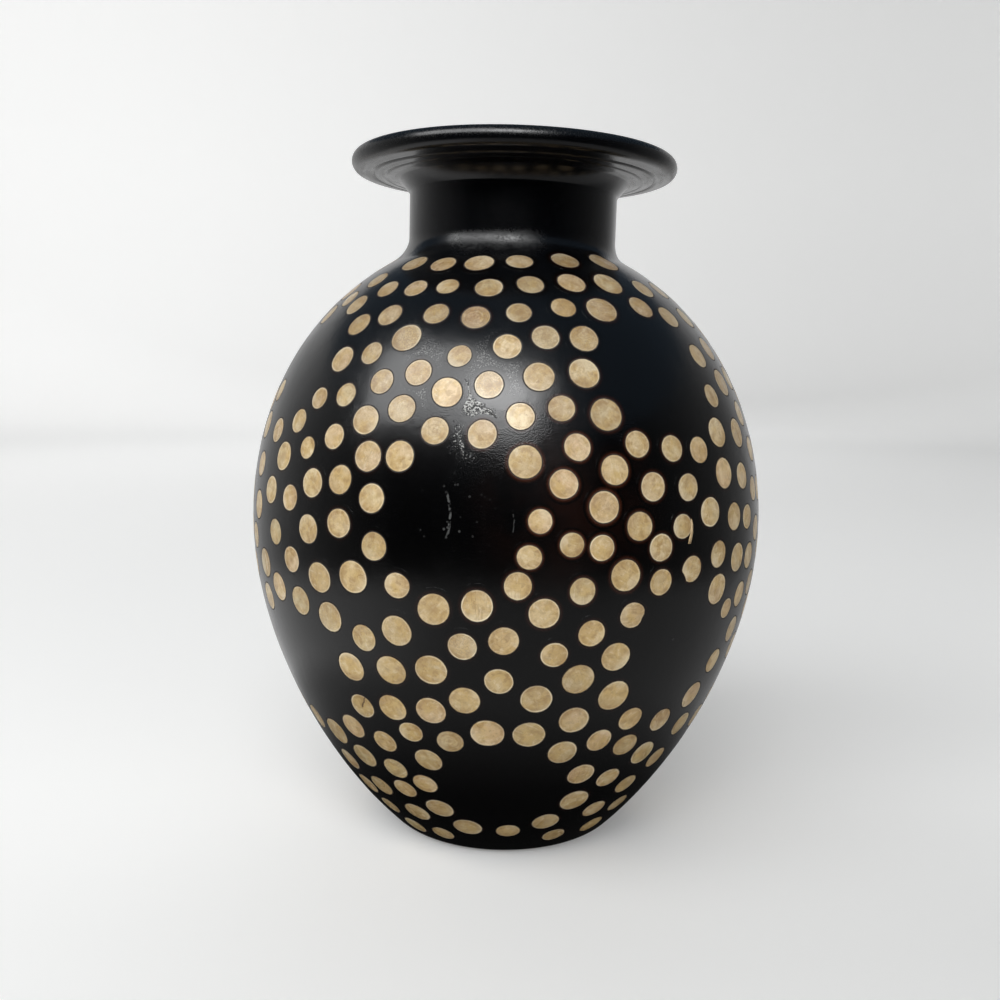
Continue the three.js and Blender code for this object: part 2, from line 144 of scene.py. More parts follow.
# Slices unlike the rest. The place is the one in the list above. A flat side or a bite stands at
# an angle anticlockwise from the right, in degrees, and its size is a share of the radius. Turn is
# in degrees too, and the rest are strengths. A slice's overall brightness here holds painted light:
# it darkens slices under the neck as painted shade and lightens some in the shoulder's highlight
# as painted highlight.
ODD_SLICES = {
    (24.4, 56.7): {"bite": 0.14, "flat_at": -20},
    (38.0, 51.8): {"bite": 0.16, "flat_at": 215},
    (35.2, 46.3): {"turn": 0, "tone_and_light": -0.2},
    (-8.4, 19.0): {"mottle": 1.0, "rings": 1.0, "tone_and_light": -1.8},
    (-25.1, 22.2): {"mottle": 1.0, "tone_and_light": -1.7},
    (-19.2, 18.4): {"mottle": 0.8, "rings": 0.5, "tone_and_light": -1.9},
    (2.6, 18.2): {"mottle": 0.7, "tone_and_light": -1.9},
    (-10.9, 24.8): {"mottle": 0.4, "warm": 0.8, "tone_and_light": -1.3},
    (-19.6, 27.1): {"mottle": 0.6, "tone_and_light": -0.7},
    (-4.0, 28.6): {"mottle": 0.9, "heart": 1.0, "rim": 1.0, "tone_and_light": 0.1},
    (2.4, 32.5): {"warm": 0.0, "mottle": 0.0, "tone_and_light": 0.7, "rings": 0.0},
    (-12.6, 29.6): {"warm": 0.2, "mottle": 0.0, "tone_and_light": 0.6},
    (-0.3, 23.4): {"mottle": 0.0, "tone_and_light": -0.4},
    (-5.3, 54.9): {"grain": 1.0, "turn": 88, "rim": 1.0, "tone_and_light": 0.3},
    (-13.4, 55.6): {"heart": 0.8, "grain": 0.3, "tone_and_light": 0.0},
    (-8.2, 60.2): {"mottle": 0.7, "rim": 1.0, "tone_and_light": -0.2},
    (-33.3, 71.0): {"crack": 1.0, "turn": 60},
    (-47.3, 51.9): {"heart": 1.0, "tone_and_light": -0.2},
}
SLIVER_SEAT = (35.2, 46.3)

# The slices round the back. Those in front within an angle are turned by a step and moved a little,
# in degrees, percent and millimetres. Then more are tried at random. Each keeps some land round it.
TURNED_WITHIN = 62
TURNED_LAND = 0.8
ANGLE_JITTER = 1.5
DOWN_JITTER = 0.5
SIZE_JITTER = 0.6
MORE_TRIES = 5000
MORE_LAND = 1.3
MORE_ANGLES = (66, 294)
MORE_DOWN = (7, 96)
MORE_SIZES = (6.2, 8.2)

# How finely the pieces are made: points along the profile, as a share, and columns round it
COAT_FINENESS = 1
COAT_INSIDE_FINENESS = 0.18
COAT_COLUMNS = 240
CORE_FINENESS = 0.4
CORE_COLUMNS = 144
STUDIO_COLUMNS = 64


def smooth(x, low, high):
    t = np.clip((x - low) / (high - low), 0, 1)
    return t * t * (3 - 2 * t)


def arc(centre, radius, start, end, count):
    angles = np.radians(np.linspace(start, end, count))
    return np.stack([centre[0] + radius * np.cos(angles), centre[1] + radius * np.sin(angles)], 1)


def bezier(a, b, c, d, count):
    t = np.linspace(0, 1, count)[:, None]
    a, b, c, d = (np.array(p, float) for p in (a, b, c, d))
    return (1 - t) ** 3 * a + 3 * (1 - t) ** 2 * t * b + 3 * (1 - t) * t ** 2 * c + t ** 3 * d


def line(a, b, count):
    return np.linspace(a, b, count)


def outline(fineness):
    """The outside from the foot's edge up, over the lip and down into the mouth, curve by curve."""
    count = lambda n: max(2, round(n * fineness) + 1)
    low = degrees(acos(1 - COAT_FOOT_HEIGHT / FOOT_EDGE_RADIUS))
    foot = arc((FOOT_RADIUS, FOOT_EDGE_RADIUS), FOOT_EDGE_RADIUS, low - 90, FOOT_SLOPE - 90, count(6))
    out = np.array([cos(radians(FOOT_SLOPE)), sin(radians(FOOT_SLOPE))])
    belly = np.array([BELLY_RADIUS, BELLY_HEIGHT])
    below = belly - [0, LOWER_BELLY_PULL]
    lower = bezier(foot[-1], foot[-1] + FOOT_PULL * out, below, belly, count(64))
    centre = (NECK_RADIUS + NECK_FILLET, NECK_BASE)
    fillet = arc(centre, NECK_FILLET, 180 + SHOULDER_SLOPE, 180, count(24))
    out = np.array([sin(radians(SHOULDER_SLOPE)), -cos(radians(SHOULDER_SLOPE))])
    shoulder = fillet[0] + SHOULDER_PULL * out
    upper = bezier(belly, belly + [0, UPPER_BELLY_PULL], shoulder, fillet[0], count(60))
    neck = line((NECK_RADIUS, NECK_BASE), (NECK_RADIUS, NECK_TOP), count(8))
    centre = (NECK_RADIUS + FLANGE_FILLET, NECK_TOP)
    under_fillet = arc(centre, FLANGE_FILLET, 180, 90 + FLANGE_RISE, count(8))
    rise = radians(FLANGE_RISE)
    lip_centre = FLANGE_RADIUS - LIP_RADIUS
    end_r = lip_centre + LIP_RADIUS * sin(rise)
    end_z = under_fillet[-1][1] + (end_r - under_fillet[-1][0]) * tan(rise)
    underside = line(under_fillet[-1], (end_r, end_z), count(44))
    lip_z = end_z + LIP_RADIUS * cos(rise)
    lip = arc((lip_centre, lip_z), LIP_RADIUS, FLANGE_RISE - 90, 90, count(18))
    top_z = lip_z + LIP_RADIUS
    mouth_z = top_z - MOUTH_EDGE_RADIUS
    centre = (MOUTH_RADIUS + MOUTH_EDGE_RADIUS, mouth_z)
    top = line((lip_centre, top_z), (centre[0], top_z), count(16))
    mouth_edge = arc(centre, MOUTH_EDGE_RADIUS, 90, 180, count(6))
    mouth = line((MOUTH_RADIUS, mouth_z), (MOUTH_RADIUS, top_z - COAT_MOUTH_DEPTH), count(8))
    body = [(foot, 0), (lower, 0), (upper, 0), (fillet, None)]
    rest = [(part, 1) for part in (neck, under_fillet, underside, lip, top, mouth_edge, mouth)]
    return body + rest


def rows_of(parts):
    """Rows of radius, height, outward direction and the neck's share, which thins the coat."""
    rows = []
    for points, share in parts:
        along = np.gradient(points, axis=0)
        along /= np.linalg.norm(along, axis=1)[:, None]
        shares = np.full(len(points), share or 0, float)
        if share is None:
            shares = smooth(np.linspace(0, 1, len(points)), COAT_THINS_FROM, 1)
        block = np.column_stack([points, along[:, 1], -along[:, 0], shares])
        rows.append(block if not rows else block[1:])
    return np.vstack(rows)


def settle(points):
    """Above the shoulder everything follows the neck's lean and its place off the middle."""
    points = points.copy()
    share = smooth(points[:, 2], LEAN_START, LEAN_END)
    lean = np.radians(NECK_LEAN) * share
    x = points[:, 0].copy()
    z = points[:, 2] - LEAN_PIVOT
    points[:, 0] = x * np.cos(lean) + z * np.sin(lean) + NECK_OFFSET * share
    points[:, 2] = LEAN_PIVOT + z * np.cos(lean) - x * np.sin(lean)
    return points


# A radius in millimetres below which a point counts as lying on the axis
ON_AXIS = 1e-6


def turned(profile, columns, relief=None):
    """Points and faces of a profile turned round the axis. On the axis the profile has one point. If
    it doesn't start there, its end joins its start. Relief moves a point along its direction."""
    angles = np.linspace(0, 2 * pi, columns, endpoint=False)
    points = []
    rings = []
    for r, z, out_r, out_z in profile:
        if r < ON_AXIS:
            rings.append([len(points)])
            points.append((0, 0, z))
            continue
        rings.append(list(range(len(points), len(points) + columns)))
        for a in angles:
            s, c = sin(a), -cos(a)
            push = relief(r, z, s, c) if relief else 0
            points.append(((r + push * out_r) * s, (r + push * out_r) * c, z + push * out_z))
    faces = []
    after = rings[1:] + rings[:1] if len(rings[0]) > 1 else rings[1:]
    for a, b in zip(rings, after):
        for i in range(columns):
            j = (i + 1) % columns
            if len(a) == 1:
                faces.append((a[0], b[j], b[i]))
            elif len(b) == 1:
                faces.append((a[i], a[j], b[0]))
            else:
                faces.append((a[i], a[j], b[j], b[i]))
    return np.array(points), faces


def linked(name, data):
    made = bpy.data.objects.new(name, data)
    bpy.context.scene.collection.objects.link(made)
    return made


def mesh_object(name, points, faces, material):
    mesh = bpy.data.meshes.new(name)
    mesh.from_pydata([tuple(p) for p in np.asarray(points) * MM], [], faces)
    mesh.validate()
    mesh.materials.append(material)
    mesh.polygons.foreach_set("use_smooth", [True] * len(mesh.polygons))
    mesh.update()
    return linked(name, mesh)


# Lengths and depths of the coat's waves in millimetres, and how far they are set inwards
BROAD_WAVE = 34
BROAD_DEPTH = 0.09
FINE_WAVE = 9
FINE_DEPTH = 0.012
WAVE_INWARDS = 0.6


def waviness(r, z, s, c):
    """The slight unevenness of a hand-rubbed coat, in millimetres and nearly all of it inwards."""
    p = Vector((r * s, r * c, z))
    broad = noise.noise(p / BROAD_WAVE) - WAVE_INWARDS
    fine = noise.noise(p / FINE_WAVE + Vector((50, 0, 0))) - WAVE_INWARDS
    return BROAD_DEPTH * broad + FINE_DEPTH * fine


# Turned grooves under the flange: radius, depth and width in millimetres
FLANGE_GROOVES = [(37.9, 0.30, 0.30), (41.6, 0.50, 0.46)]


def coat_piece(material):
    rows = rows_of(outline(COAT_FINENESS))
    outside = rows[:, :4].copy()
    under = (rows[:, 1] < NECK_TOP + 8) & (rows[:, 1] > NECK_TOP) & (rows[:, 3] < -0.5)
    for groove, depth, width in FLANGE_GROOVES:
        cut = depth * np.exp(-((rows[:, 0] - groove) / width) ** 2) * under
        outside[:, 0] -= cut * rows[:, 2]
        outside[:, 1] -= cut * rows[:, 3]
    rows = rows_of(outline(COAT_INSIDE_FINENESS))
    thickness = COAT + (NECK_COAT - COAT) * rows[:, 4:]
    inside = np.hstack([rows[:, :2] - rows[:, 2:4] * thickness, np.zeros((len(rows), 2))])[::-1]
    points, faces = turned(np.vstack([outside, inside]), COAT_COLUMNS, waviness)
    return mesh_object("black_coat", settle(points), faces, material)


# The inside of the core: how much less its flat floor reaches than the curve above it, and the
# ridges of its throwing, in millimetres and in radians for a millimetre of height
FLOOR_INSET = 1.5
RIDGE_DEPTH = 0.25
RIDGE_STEEPNESS = 1.15
RIDGE_INWARDS = 0.1


def throwing_ridges(r, z, s, c):
    """The spiral that the thrower's fingers leave inside, in millimetres."""
    return RIDGE_DEPTH * sin(z * RIDGE_STEEPNESS + atan2(s, -c)) - RIDGE_INWARDS


def core_piece(material):
    rows = rows_of(outline(CORE_FINENESS))
    thickness = COAT + (NECK_COAT - COAT) * rows[:, 4:] + CLEARANCE
    wall = BODY_WALL + (NECK_WALL - BODY_WALL) * rows[:, 4:]
    outer = rows[:, :2] - rows[:, 2:4] * thickness
    inner = (rows[:, :2] - rows[:, 2:4] * (thickness + wall))[::-1]
    bore = outer[-1][0]
    throat = NECK_BASE - NECK_WALL
    inner = inner[(inner[:, 0] > bore) & (inner[:, 1] < throat) & (inner[:, 1] > FLOOR)]
    inner = inner[inner[:, 0] < BELLY_RADIUS]
    foot_outer = outer[0][0] - CLEARANCE
    foot_inner = foot_outer - FOOT_RING_WIDTH
    start = [(0, FOOT_RECESS), (foot_inner - FOOT_RECESS, FOOT_RECESS), (foot_inner, 0),
             (foot_outer, 0), (foot_outer, outer[0][1] - CLEARANCE)]
    first_inner = len(start) + len(outer) + 1
    end = [(inner[-1][0] - FLOOR_INSET, FLOOR), (0, FLOOR)]
    profile = np.vstack([start, outer, [(bore, throat)], inner, end])
    along = np.gradient(profile, axis=0)
    along /= np.linalg.norm(along, axis=1)[:, None]
    out = np.column_stack([along[:, 1], -along[:, 0]])
    out[:first_inner] = 0
    out[-2:] = 0
    points, faces = turned(np.column_stack([profile, out]), CORE_COLUMNS, throwing_ridges)
    return mesh_object("clay_core", settle(points), faces, material)


# Places on the side, measured down from a little above the neck's fillet
SIDE_LEAD = 2.4
SIDE = np.vstack([part for part, share in outline(4)[1:4]])[::-1]
SIDE_LENGTH = np.concatenate([[0], np.cumsum(np.linalg.norm(np.diff(SIDE, axis=0), axis=1))])


def on_side(angle, down):
    """Centre and outward direction, in millimetres, of a place on the side."""
    s = down / 100 * (SIDE_LENGTH[-1] + SIDE_LEAD) - SIDE_LEAD
    r, z = (np.interp(s, SIDE_LENGTH, SIDE[:, i]) for i in (0, 1))
    ahead = [np.interp(s + 0.5, SIDE_LENGTH, SIDE[:, i]) for i in (0, 1)]
    behind = [np.interp(s - 0.5, SIDE_LENGTH, SIDE[:, i]) for i in (0, 1)]
    along = np.subtract(behind, ahead)
    along /= np.linalg.norm(along)
    a = radians(angle)
    centre = Vector((r * sin(a), -r * cos(a), z))
    out = Vector((along[1] * sin(a), -along[1] * cos(a), -along[0]))
    return centre, out


def blank_fields():
    fields = []
    for angle, down, radius in BLANK_FIELDS:
        for k in range(3):
            fields.append((*on_side(angle + k * FIELD_STEP, down), radius))
    return fields


def seat(angle, down, diameter):
    centre, out = on_side(angle, down)
    return {"angle": angle, "down": down, "radius": diameter / 2, "centre": centre, "out": out}


def fits(new, seats, fields, land):
    for centre, _, radius in fields:
        if (new["centre"] - centre).length < radius + new["radius"] * FIELD_GAP:
            return False
    return all((new["centre"] - s["centre"]).length > new["radius"] + s["radius"] + land for s in seats)


def either_way(draw, most):
    return draw.uniform(-most, most)


def all_seats():
    """The slices in front as set out, and the same pattern carried on round the back by rule."""
    draw = random.Random(11)
    front = [seat(*row) for row in FRONT_SLICES]
    for s in front:
        share = 1
        for other in front:
            if other is not s:
                room = (s["centre"] - other["centre"]).length - DISC_LAND
                share = min(share, room / (s["radius"] + other["radius"]))
        s["share"] = share
    for s in front:
        s["radius"] *= s["share"]
    seats = list(front)
    fields = blank_fields()
    turned_ones = [row for row in FRONT_SLICES if abs(row[0]) < TURNED_WITHIN]
    for step in (FIELD_STEP, -FIELD_STEP):
        for angle, down, diameter in turned_ones:
            new_angle = (angle + step + either_way(draw, ANGLE_JITTER) + 180) % 360 - 180
            new_down = down + either_way(draw, DOWN_JITTER)
            new = seat(new_angle, new_down, diameter + either_way(draw, SIZE_JITTER))
            if abs(new_angle) > TURNED_WITHIN and fits(new, seats, fields, TURNED_LAND):
                seats.append(new)
    for _ in range(MORE_TRIES):
        new_angle = draw.uniform(*MORE_ANGLES)
        new_angle = new_angle if new_angle < 180 else new_angle - 360
        new = seat(new_angle, draw.uniform(*MORE_DOWN), draw.uniform(*MORE_SIZES))
        if fits(new, seats, fields, MORE_LAND):
            seats.append(new)
    return seats


class Web:
    """A node tree with short ways to add nodes and to join them."""

    def __init__(self, tree):
        self.tree = tree

    def node(self, kind, inputs=None, **settings):
        made = self.tree.nodes.new(kind)
        for key, value in settings.items():
            setattr(made, key, value)
        for key, value in (inputs or {}).items():
            self.feed(made.inputs[key], value)
        return made

    def feed(self, socket, value):
        if isinstance(value, bpy.types.NodeSocket):
            self.tree.links.new(value, socket)
        elif value is not None:
            socket.default_value = value

    def filled(self, kind, values, **settings):
        """A node whose inputs are fed in their order."""
        return self.node(kind, dict(enumerate(values)), **settings)

    def math(self, operation, *values, clamp=False):
        return self.filled("ShaderNodeMath", values, operation=operation, use_clamp=clamp).outputs[0]

    def times(self, product, *values):
        for value in values:
            product = self.math("MULTIPLY", product, value)
        return product

    def plus(self, a, b):
        return self.math("ADD", a, b)

    def minus(self, a, b):
        return self.math("SUBTRACT", a, b)

    def times_plus(self, value, factor, more):
        return self.math("MULTIPLY_ADD", value, factor, more)

    def size_of(self, value):
        return self.math("ABSOLUTE", value)

    def most(self, a, b):
        return self.math("MAXIMUM", a, b)

    def vector(self, operation, *values):
        made = self.filled("ShaderNodeVectorMath", values, operation=operation)
        single = operation in ("DOT_PRODUCT", "LENGTH", "DISTANCE")
        return made.outputs["Value" if single else "Vector"]

    def scaled(self, vector, scale):
        inputs = {0: vector, "Scale": scale}
        return self.node("ShaderNodeVectorMath", inputs, operation="SCALE").outputs["Vector"]

    def stretched(self, vector, x, y, z):
        return self.vector("MULTIPLY", vector, (x, y, z))

    def split(self, vector):
        """The three coordinates of a vector."""
        return self.filled("ShaderNodeSeparateXYZ", [vector]).outputs

    def place(self):
        """Where a point lies on its object, in metres."""
        return self.node("ShaderNodeTexCoord").outputs["Object"]

    def spread(self, value, low, high, to_low=0.0, to_high=1.0):
        """The value's range made into another, with soft ends."""
        values = (value, low, high, to_low, to_high)
        return self.filled("ShaderNodeMapRange", values, interpolation_type="SMOOTHSTEP").outputs[0]

    def band(self, value, start, full, full_end, end):
        """1 from full to full_end, falling softly to 0 at the start and the end."""
        return self.times(self.spread(value, start, full), self.spread(value, end, full_end))

    def noise(self, vector, scale, detail=2.0, roughness=0.5, w=None):
        inputs = {"Scale": scale, "Detail": detail, "Roughness": roughness, "Vector": vector}
        made = self.node("ShaderNodeTexNoise", inputs)
        if w is not None:
            made.noise_dimensions = "4D"
            self.feed(made.inputs["W"], w)
        return made.outputs["Fac"]

    def cells(self, vector, scale, w=None):
        """Cells with a colour drawn for each, and how far a point lies from the middle of its cell."""
        made = self.node("ShaderNodeTexVoronoi", {"Scale": scale, "Vector": vector})
        if w is not None:
            made.voronoi_dimensions = "4D"
            self.feed(made.inputs["W"], w)
        return made.outputs

    def red(self, colour):
        return self.vector("DOT_PRODUCT", colour, (1.0, 0.0, 0.0))

    def mix(self, factor, a, b):
        return self.node("ShaderNodeMix", {0: factor, 6: a, 7: b}, data_type="RGBA").outputs[2]

    def attribute(self, name, output="Fac"):
        return self.node("ShaderNodeAttribute", attribute_name=name).outputs[output]

    def bump(self, height, distance, normal=None):
        inputs = {"Height": height, "Distance": distance, "Strength": 1.0, "Normal": normal}
        return self.node("ShaderNodeBump", inputs).outputs["Normal"]


class Shade:
    """A colour that is built up in layers."""

    def __init__(self, web, ground):
        self.web = web
        self.colour = ground

    def lay(self, colour, *masks):
        """Lays a colour on, as far as the product of the masks says."""
        self.colour = self.web.mix(self.web.times(*masks), self.colour, colour)


def colour(r, g, b):
    return (r, g, b, 1.0)


def metres(values):
    return tuple(v * MM for v in values)


def new_material(name, roughness, specular):
    material = bpy.data.materials.new(name)
    material.use_nodes = True
    web = Web(material.node_tree)
    shader = material.node_tree.nodes["Principled BSDF"]
    shader.inputs["Roughness"].default_value = roughness
    shader.inputs["Specular IOR Level"].default_value = specular
    return material, web, shader


def join(web, shader, colour, roughness, normal):
    for key, value in (("Base Color", colour), ("Roughness", roughness), ("Normal", normal)):
        web.feed(shader.inputs[key], value)


# Roughness and shine of the lacquer, and how deep the fine relief is, in metres
GLOSS = 0.19
SHINE = 0.68
PEEL_DEPTH = 1.6e-5
PIT_DEPTH = 4e-5
BRUSHING_DEPTH = 6e-5
CRAZING_DEPTH = 7e-5
WOOD_DEPTH = 3e-5
GRIT_DEPTH = 6e-5


def rubbed_gloss_group():
    """Hand-rubbed gloss: orange peel, fine pits, coarser in patches, and faint smears."""
    group = bpy.data.node_groups.new("Rubbed gloss", "ShaderNodeTree")
    face = group.interface
    for name, value in (("Roughness", 0.16), ("Peel", 1.0), ("Pits", 1.0)):
        socket = face.new_socket(name, in_out="INPUT", socket_type="NodeSocketFloat")
        socket.default_value = value
    face.new_socket("Roughness", in_out="OUTPUT", socket_type="NodeSocketFloat")
    face.new_socket("Normal", in_out="OUTPUT", socket_type="NodeSocketVector")
    web = Web(group)
    given = web.node("NodeGroupInput").outputs
    where = web.place()
    peel = web.times(web.noise(where, 330.0, 2.0, 0.45), given["Peel"])
    places = web.spread(web.noise(where, 70.0, 3.0, 0.6), 0.46, 0.60, 0.12, 1.0)
    grain = web.times(web.noise(where, 2900.0, 1.0), places, given["Pits"])
    normal = web.bump(grain, PIT_DEPTH, web.bump(peel, PEEL_DEPTH))
    smears = web.noise(web.stretched(where, 38.0, 38.0, 9.0), 1.0, 4.0, 0.6)
    rough = web.times_plus(web.spread(smears, 0.42, 0.72), 0.08, given["Roughness"])
    web.node("NodeGroupOutput", {"Roughness": rough, "Normal": normal})
    return group


def gloss(web, group, roughness, peel, pits):
    inputs = {"Roughness": roughness, "Peel": peel, "Pits": pits}
    return web.node("ShaderNodeGroup", inputs, node_tree=group).outputs


BLACK = colour(0.0008, 0.0008, 0.0009)
PAINTED_BLUE_SHEEN = colour(0.0018, 0.0024, 0.0036)
BROWN_BLACK = colour(0.027, 0.0225, 0.019)
RED_BROWN = colour(0.085, 0.020, 0.006)
SCUFF = colour(0.22, 0.225, 0.22)
CHALK_AND_GLINT = colour(0.42, 0.42, 0.40)

# Marks in the coat, as places on the side with their size in millimetres and then their strength:
# crazed and frosted places with their reach, and dull streaks with half their height and width.
# In the frosted places pale specks are painted in as glints of the highlight, and the pale flecks
# of the crazing are partly its own colour and partly painted glints.
CRAZED = [
    ((-8.8, 29.4), 3.6, 2.4), ((-6.8, 31.0), 4.6, 2.8), ((-4.6, 32.8), 4.2, 2.4),
    ((-8.0, 35.9), 5.4, 0.9), ((-9.6, 34.5), 3.8, 0.8),
]
PAINTED_GLINTS = [
    ((-19.0, 25.0), 7.0, 1.0), ((-4.8, 25.5), 8.0, 1.0), ((0.8, 27.4), 7.0, 1.0),
    ((-18.5, 29.4), 7.0, 1.0), ((-2.0, 23.4), 6.0, 1.0),
]
LONG_STREAK = (-10.3, 44.3)
STREAKS = [
    (LONG_STREAK, 6.0, 0.42, 0.75), ((1.2, 44.9), 3.4, 0.22, 0.35),
    ((-6.8, 36.3), 2.6, 0.20, 0.8), ((-9.3, 34.9), 2.2, 0.18, 0.6),
]
STREAK_REACH = 16.0

# Specks of white round the longest streak, and a small chip at the lower right
SPECKLED = [(LONG_STREAK, 13.0, 0.5), ((37.0, 60.5), 3.2, 1.0)]

# The red-brown glow is strongest in front, to the right of the blank field. It reaches less far
# in the coat than at the edges of the slices.
GLOW_AT = (12.0, 43.0)
GLOW_REACH = 36.0
COAT_GLOW_REACH = 30.0

# Heights in millimetres between which the neck's root is rubbed, the flange has its underside,
# the lip begins, and the black takes on a painted blue sheen, a reflection from above, and how far
# out the underside begins
ROOT_BAND = (168, 171, 175, 177)
UNDERSIDE_BAND = (190, 192, 195.2, 196)
LIP_START = (196, 198)
BLUE_SHEEN_HEIGHTS = (90, 170)
UNDERSIDE_START = (30, 34)

# The underside is brown and brushed at its sides only, from so far left and right of the middle
BRUSHED_SIDES = (24, 36)

# The middle of the flange is further off than the neck, because the neck leans
FLANGE_OFFSET = NECK_OFFSET + 0.4

# Where the rubbed places at the neck's root lie from left to right, and how far they reach
RUBBED_ROOT = [(-10.0, 8.5), (-2.5, 7.0), (4.5, 8.5)]


def patch(web, where, place, reach, strength=None):
    """1 or the strength at a place on the side, falling to 0 at its reach in millimetres."""
    away = web.vector("DISTANCE", where, metres(on_side(*place)[0]))
    here = web.spread(away, reach * MM, 0.0)
    return here if strength is None else web.times(here, strength)


def patches(web, where, places):
    most = 0.0
    for place, reach, strength in places:
        most = web.most(most, patch(web, where, place, reach, strength))
    return most


def streak(web, where, place, half_height, half_width):
    """A thin upright mark, slightly bent, on the front of the coat."""
    off = web.split(web.vector("SUBTRACT", where, metres(on_side(*place)[0])))
    up = web.math("DIVIDE", off["Z"], half_height * MM)
    bend = web.times(up, up, -0.18 * half_height * MM)
    wobble = web.times(web.minus(web.noise(where, 900.0), 0.5), 0.5 * MM)
    aside = web.minus(web.plus(off["X"], wobble), bend)
    mark = web.spread(web.size_of(aside), half_width * MM, 0.25 * half_width * MM)
    ends = web.spread(web.size_of(up), 1.0, 0.8)
    broken = web.spread(web.noise(where, 1300.0, 4.0, 0.6), 0.42, 0.56)
    return web.times(mark, ends, broken, patch(web, where, place, STREAK_REACH))


def under_flange(web, where):
    """1 on the underside of the flange, and the brushing that follows its turning."""
    middle = metres((FLANGE_OFFSET, 0, 0))
    flat = web.vector("SUBTRACT", web.stretched(where, 1.0, 1.0, 0.0), middle)
    out = web.vector("LENGTH", flat)
    height = web.vector("DOT_PRODUCT", where, (sin(radians(NECK_LEAN)), 0.0, 1.0))
    mask = web.band(height, *metres(UNDERSIDE_BAND))
    mask = web.times(mask, web.spread(out, *metres(UNDERSIDE_START)))
    around = web.scaled(web.vector("NORMALIZE", flat), 2.6)
    across = web.node("ShaderNodeCombineXYZ", {"Z": web.times(out, 620.0)}).outputs[0]
    return mask, web.noise(web.vector("ADD", around, across), 1.0, 4.0, 0.65)


def coat_material(group):
    material, web, shader = new_material("Black lacquer", 0.2, SHINE)
    where = web.place()
    side = web.split(where)
    dull = web.spread(web.noise(where, 1500.0, 2.0, 0.6), 0.46, 0.60, 0.02, 0.14)
    rubbed = 0.0
    for place, reach in RUBBED_ROOT:
        off = web.size_of(web.minus(side["X"], place * MM))
        rubbed = web.most(rubbed, web.spread(off, reach * MM, 0.0))
    root = web.times(web.band(side["Z"], *metres(ROOT_BAND)), rubbed, web.times_plus(dull, 1.5, 0.08))
    lip = web.times_plus(web.spread(side["Z"], *metres(LIP_START)), dull, root)
    parts = gloss(web, group, web.plus(lip, GLOSS), 1.0, 1.0)

    shade = Shade(web, BLACK)
    # Painted reflection: a blue sheen on the black, stronger towards the top
    shade.lay(PAINTED_BLUE_SHEEN, web.spread(side["Z"], *metres(BLUE_SHEEN_HEIGHTS)), web.noise(where, 30.0, 3.0))
    glow = web.spread(web.noise(where, 75.0), 0.35, 0.65)
    shade.lay(RED_BROWN, patch(web, where, GLOW_AT, COAT_GLOW_REACH), glow, 0.09)
    # Painted glints: pale specks in the frosted places of the highlight
    glint_grains = web.spread(web.noise(where, 2600.0, 1.0), 0.52, 0.64)
    shade.lay(CHALK_AND_GLINT, glint_grains, patches(web, where, PAINTED_GLINTS), 0.36)

    under, brushing = under_flange(web, where)
    sides = web.spread(web.size_of(side["X"]), *metres(BRUSHED_SIDES))
    brown = web.times(under, sides, web.spread(brushing, 0.40, 0.66))
    shade.lay(BROWN_BLACK, brown)
    normal = web.bump(web.times(brushing, under, sides), BRUSHING_DEPTH, parts["Normal"])

    broken = web.spread(web.noise(where, 520.0, 3.0), 0.33, 0.52)
    crazed = web.math("MULTIPLY", patches(web, where, CRAZED), broken, clamp=True)
    there = web.spread(crazed, 0.02, 0.2)
    chips = web.noise(where, 2300.0, 2.0, 0.6)
    # The pale flecks are partly the crazing's own colour and partly painted glints
    pale = web.times(web.spread(web.times_plus(crazed, 0.22, chips), 0.70, 0.75), there)
    sunk = web.times(web.spread(web.times_plus(crazed, -0.19, chips), 0.33, 0.28), there)
    shade.lay(CHALK_AND_GLINT, pale)
    normal = web.bump(web.minus(pale, sunk), CRAZING_DEPTH, normal)

    marks = 0.0
    for place, half_height, half_width, strength in STREAKS:
        mark = web.times(streak(web, where, place, half_height, half_width), strength)
        marks = web.most(marks, mark)
    specks = web.spread(web.cells(where, 420.0)["Distance"], 0.17, 0.08)
    for row in SPECKLED:
        marks = web.most(marks, web.times(patch(web, where, *row), specks))
    shade.lay(SCUFF, marks, 0.5)
    rough = web.times_plus(sunk, 0.35, web.times_plus(marks, 0.4, parts["Roughness"]))
    rough = web.math("MULTIPLY_ADD", brown, 0.10, rough, clamp=True)
    join(web, shader, shade.colour, rough, normal)
    return material


def seam_material(group):
    """The lacquer right round a slice, where the thin edge of the coat shows red-brown."""
    material, web, shader = new_material("Lacquer at the slices", 0.2, SHINE)
    parts = gloss(web, group, GLOSS, 1.0, 1.2)
    away = web.vector("LENGTH", web.attribute("local", "Vector"))
    near = web.spread(away, 1.36, 1.0)
    glow = web.times(near, near, web.attribute("glow"), 0.65)
    shade = web.mix(web.times(glow, web.spread(away, 1.0, 1.06)), BLACK, RED_BROWN)
    dull = web.spread(away, 1.07, 1.03, 0.0, 0.45)
    join(web, shader, shade, web.plus(parts["Roughness"], dull), parts["Normal"])
    return material


CREAM = colour(0.735, 0.58, 0.343)
TAN = colour(0.63, 0.44, 0.180)
PINK_GREY = colour(0.40, 0.285, 0.185)
PALE_EDGE = colour(0.90, 0.79, 0.56)
BARK = colour(0.085, 0.045, 0.024)
DARK_GRAIN = colour(0.34, 0.20, 0.080)
PINK = colour(0.68, 0.45, 0.28)
OLIVE = colour(0.47, 0.40, 0.20)
CLAY = colour(0.30, 0.145, 0.080)
PALE_CLAY = colour(0.44, 0.235, 0.135)
GRIT = colour(0.14, 0.075, 0.045)


